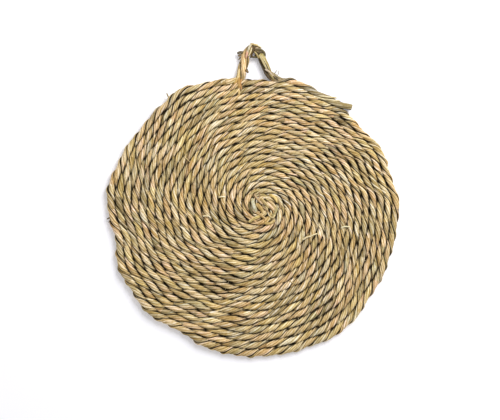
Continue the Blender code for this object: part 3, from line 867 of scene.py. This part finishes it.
def makeLeafGroup():
    # cuts the map into leaves and lengths, gives each its own tone, and draws fibres along it
    group = bpy.data.node_groups.new("rushLeaf", "ShaderNodeTree")
    face = group.interface
    for label in ("Leaf length", "Seed"):
        face.new_socket(label, in_out="INPUT", socket_type="NodeSocketFloat")
    for label in ("Tone", "Second tone", "Ply tone", "Crease", "Fibre", "Fleck"):
        face.new_socket(label, in_out="OUTPUT", socket_type="NodeSocketFloat")
    start = group.nodes.new("NodeGroupInput")
    end = group.nodes.new("NodeGroupOutput")
    uv = addNode(group, "ShaderNodeUVMap", {"uv_map": "leaf"}).outputs[0]
    split = addNode(group, "ShaderNodeSeparateXYZ", i0=uv)
    u, v = split.outputs[0], split.outputs[1]
    leaf = maths(group, "FLOOR", u)
    ownStart = addNode(group, "ShaderNodeTexWhiteNoise", {"noise_dimensions": "1D"}, W=leaf).outputs[0]
    length = maths(group, "DIVIDE", v, start.outputs["Leaf length"])
    length = maths(group, "FLOOR", maths(group, "ADD", length, ownStart))
    cell = addNode(group, "ShaderNodeCombineXYZ", X=leaf, Y=length, Z=start.outputs["Seed"]).outputs[0]
    random = addNode(group, "ShaderNodeTexWhiteNoise", {"noise_dimensions": "3D"}, Vector=cell)
    second = addNode(group, "ShaderNodeSeparateColor", i0=random.outputs[1]).outputs[1]
    whichPly = maths(group, "FLOOR", maths(group, "DIVIDE", u, rope["mapWidth"]))
    plyLength = maths(group, "FLOOR", maths(group, "DIVIDE", v, rope["lay"] * rush["plyLength"]))
    plyCell = addNode(group, "ShaderNodeCombineXYZ", X=whichPly, Y=plyLength, Z=rush["plySeed"]).outputs[0]
    plyTone = addNode(group, "ShaderNodeTexWhiteNoise", {"noise_dimensions": "3D"}, Vector=plyCell)
    inLeaf = maths(group, "FRACT", u)
    away = maths(group, "ABSOLUTE", maths(group, "SUBTRACT", inLeaf, 0.5))
    masks = {
        "Tone": random.outputs[0],
        "Second tone": second,
        "Ply tone": plyTone.outputs[0],
        "Crease": ranged(group, away, *rush["creaseAt"], 0.0, 1.0),
        "Fibre": leafNoise(group, u, v, *rush["fibre"]),
        "Fleck": leafNoise(group, u, v, *rush["fleck"]),
    }
    for label, socket in masks.items():
        group.links.new(socket, end.inputs[label])
    return group


leafGroup = makeLeafGroup()


def rushMaterial(name):
    seed, deepAt, gapShadeShare, bumpStrength = rush["finishes"][name]
    material = bpy.data.materials.new(name)
    material.use_nodes = True
    tree = material.node_tree
    shader = tree.nodes["Principled BSDF"]
    leaf = tree.nodes.new("ShaderNodeGroup")
    leaf.node_tree = leafGroup
    leaf.inputs["Leaf length"].default_value = rush["leafLength"]
    leaf.inputs["Seed"].default_value = seed
    ramps = []
    for label in ("Tone", "Ply tone"):
        ramp = addNode(tree, "ShaderNodeValToRGB", i0=leaf.outputs[label])
        while len(ramp.color_ramp.elements) < len(rush["colours"]):
            ramp.color_ramp.elements.new(0.5)
        for element, (place, colour) in zip(ramp.color_ramp.elements, rush["colours"]):
            element.position = place
            element.color = srgb(*colour)
        ramps.append(ramp.outputs[0])
    bundle = mixed(tree, rush["plyShare"], *ramps)
    paint = addNode(tree, "ShaderNodeAttribute", {"attribute_name": "tint"})
    base = mixed(tree, paint.outputs["Alpha"], bundle, paint.outputs["Color"])
    fibreShade, fleckShade, toneShade, creaseShade = [
        ranged(tree, leaf.outputs[label], *rush[key]) for label, key in (
            ("Fibre", "fibreShade"), ("Fleck", "fleckShade"), ("Second tone", "toneShade"),
            ("Crease", "creaseShade"))]
    # fibre, fleck and tone are the leaves' own colour; the crease factor is painted shade
    shade = maths(tree, "MULTIPLY", maths(tree, "MULTIPLY", fibreShade, fleckShade),
                  maths(tree, "MULTIPLY", toneShade, creaseShade))
    green = maths(tree, "POWER", shade, rush["warmGreen"])
    blue = maths(tree, "POWER", shade, rush["warmBlue"])
    warm = addNode(tree, "ShaderNodeCombineColor", i0=shade, i1=green, i2=blue).outputs[0]
    leafColour = mixed(tree, 1.0, base, warm, "MULTIPLY")
    # painted shade: deep near a rope's middle, and where a point is not open, the colour goes toward the
    # dark gap colour
    depth = addNode(tree, "ShaderNodeAttribute", {"attribute_name": "depth"}).outputs["Fac"]
    opened = addNode(tree, "ShaderNodeAttribute", {"attribute_name": "open"}).outputs["Fac"]
    paintedExposure = maths(tree, "MULTIPLY", ranged(tree, depth, *deepAt, 1 - gapShadeShare, 1.0),
                  ranged(tree, opened, *rush["openAt"], 1 - gapShadeShare, 1.0))
    colour = mixed(tree, paintedExposure, srgb(*rush["gap"]), leafColour)
    tree.links.new(colour, shader.inputs["Base Color"])
    rough = ranged(tree, leaf.outputs["Fibre"], *rush["roughness"])
    hidden = maths(tree, "SUBTRACT", 1.0, paintedExposure)
    tree.links.new(maths(tree, "MAXIMUM", rough, hidden), shader.inputs["Roughness"])
    shader.inputs["Specular IOR Level"].default_value = rush["specular"]
    bump = addNode(tree, "ShaderNodeBump", Strength=bumpStrength, Distance=rush["bumpDepth"],
                   Height=leaf.outputs["Fibre"])
    tree.links.new(bump.outputs[0], shader.inputs["Normal"])
    return material


pieceFinishes = {
    "rushCoil": (*coilPieces, *tailPieces, centreKnot),
    "rushLoop": (loopRope,),
    "rushStrand": (loopBinding, loopTufts, rootStrands, tailFan, sewingEnds, rimTufts),
}
for finish, pieces in pieceFinishes.items():
    rushFinish = rushMaterial(finish)
    for piece in pieces:
        piece.data.materials.append(rushFinish)

# Pale twine: fine slanting yarns across its length
twineLook = {
    "dark": (150, 130, 92), "light": (226, 210, 172), "fineness": 900.0, "unevenness": 1.5,
    "detail": 2.0, "roughness": 0.8, "bump": 0.5, "bumpDepth": 0.0003,
}


def twineMaterial():
    material = bpy.data.materials.new("sewingTwine")
    material.use_nodes = True
    tree = material.node_tree
    shader = tree.nodes["Principled BSDF"]
    place = addNode(tree, "ShaderNodeTexCoord").outputs["Object"]
    waves = addNode(tree, "ShaderNodeTexWave", {"bands_direction": "DIAGONAL"}, Vector=place,
                    Scale=twineLook["fineness"], Distortion=twineLook["unevenness"],
                    Detail=twineLook["detail"]).outputs["Fac"]
    colour = mixed(tree, waves, srgb(*twineLook["dark"]), srgb(*twineLook["light"]))
    tree.links.new(colour, shader.inputs["Base Color"])
    shader.inputs["Roughness"].default_value = twineLook["roughness"]
    bump = addNode(tree, "ShaderNodeBump", Strength=twineLook["bump"], Distance=twineLook["bumpDepth"],
                   Height=waves)
    tree.links.new(bump.outputs[0], shader.inputs["Normal"])
    return material


twine = twineMaterial()
for name, node in frame["nodes"].items():
    if name.startswith("sewing_twine"):
        for materialSlot in node.material_slots:
            materialSlot.material = twine
print("materials made")

# Stage: pale floor, wide soft light from the upper right
stage = {
    "reach": 6.0, "floor": (0.89, 0.89, 0.94), "glow": 0.16, "floorRoughness": 0.9,
    "sky": (1.0, 0.99, 0.97), "skyPower": 0.50,
    "lamps": [("keyLight", 22.3, (0.70, 0.80, 1.05), 0.85), ("fillLight", 2.0, (-0.9, -0.3, 1.3), 1.2)],
}


def makeStage():
    reach = stage["reach"]
    mesh = bpy.data.meshes.new("floor")
    mesh.from_pydata([(-reach, -reach, 0), (reach, -reach, 0), (reach, reach, 0), (-reach, reach, 0)],
                     [], [(0, 1, 2, 3)])
    floor = bpy.data.objects.new("floor", mesh)
    bpy.context.scene.collection.objects.link(floor)
    pale = bpy.data.materials.new("paleFloor")
    pale.use_nodes = True
    paleInputs = pale.node_tree.nodes["Principled BSDF"].inputs
    paleInputs["Base Color"].default_value = (*stage["floor"], 1.0)
    paleInputs["Emission Color"].default_value = (*stage["floor"], 1.0)
    paleInputs["Emission Strength"].default_value = stage["glow"]
    paleInputs["Roughness"].default_value = stage["floorRoughness"]
    mesh.materials.append(pale)
    world = bpy.data.worlds.new("studio")
    world.use_nodes = True
    sky = world.node_tree.nodes["Background"]
    sky.inputs[0].default_value = (*stage["sky"], 1.0)
    sky.inputs[1].default_value = stage["skyPower"]
    bpy.context.scene.world = world
    for name, power, place, across in stage["lamps"]:
        data = bpy.data.lights.new(name, "AREA")
        data.energy = power
        data.size = across
        lamp = bpy.data.objects.new(name, data)
        lamp.location = place
        lamp.rotation_euler = Vector(place).to_track_quat("Z", "Y").to_euler()
        bpy.context.scene.collection.objects.link(lamp)
    bpy.context.scene.view_settings.view_transform = "Standard"


makeStage()
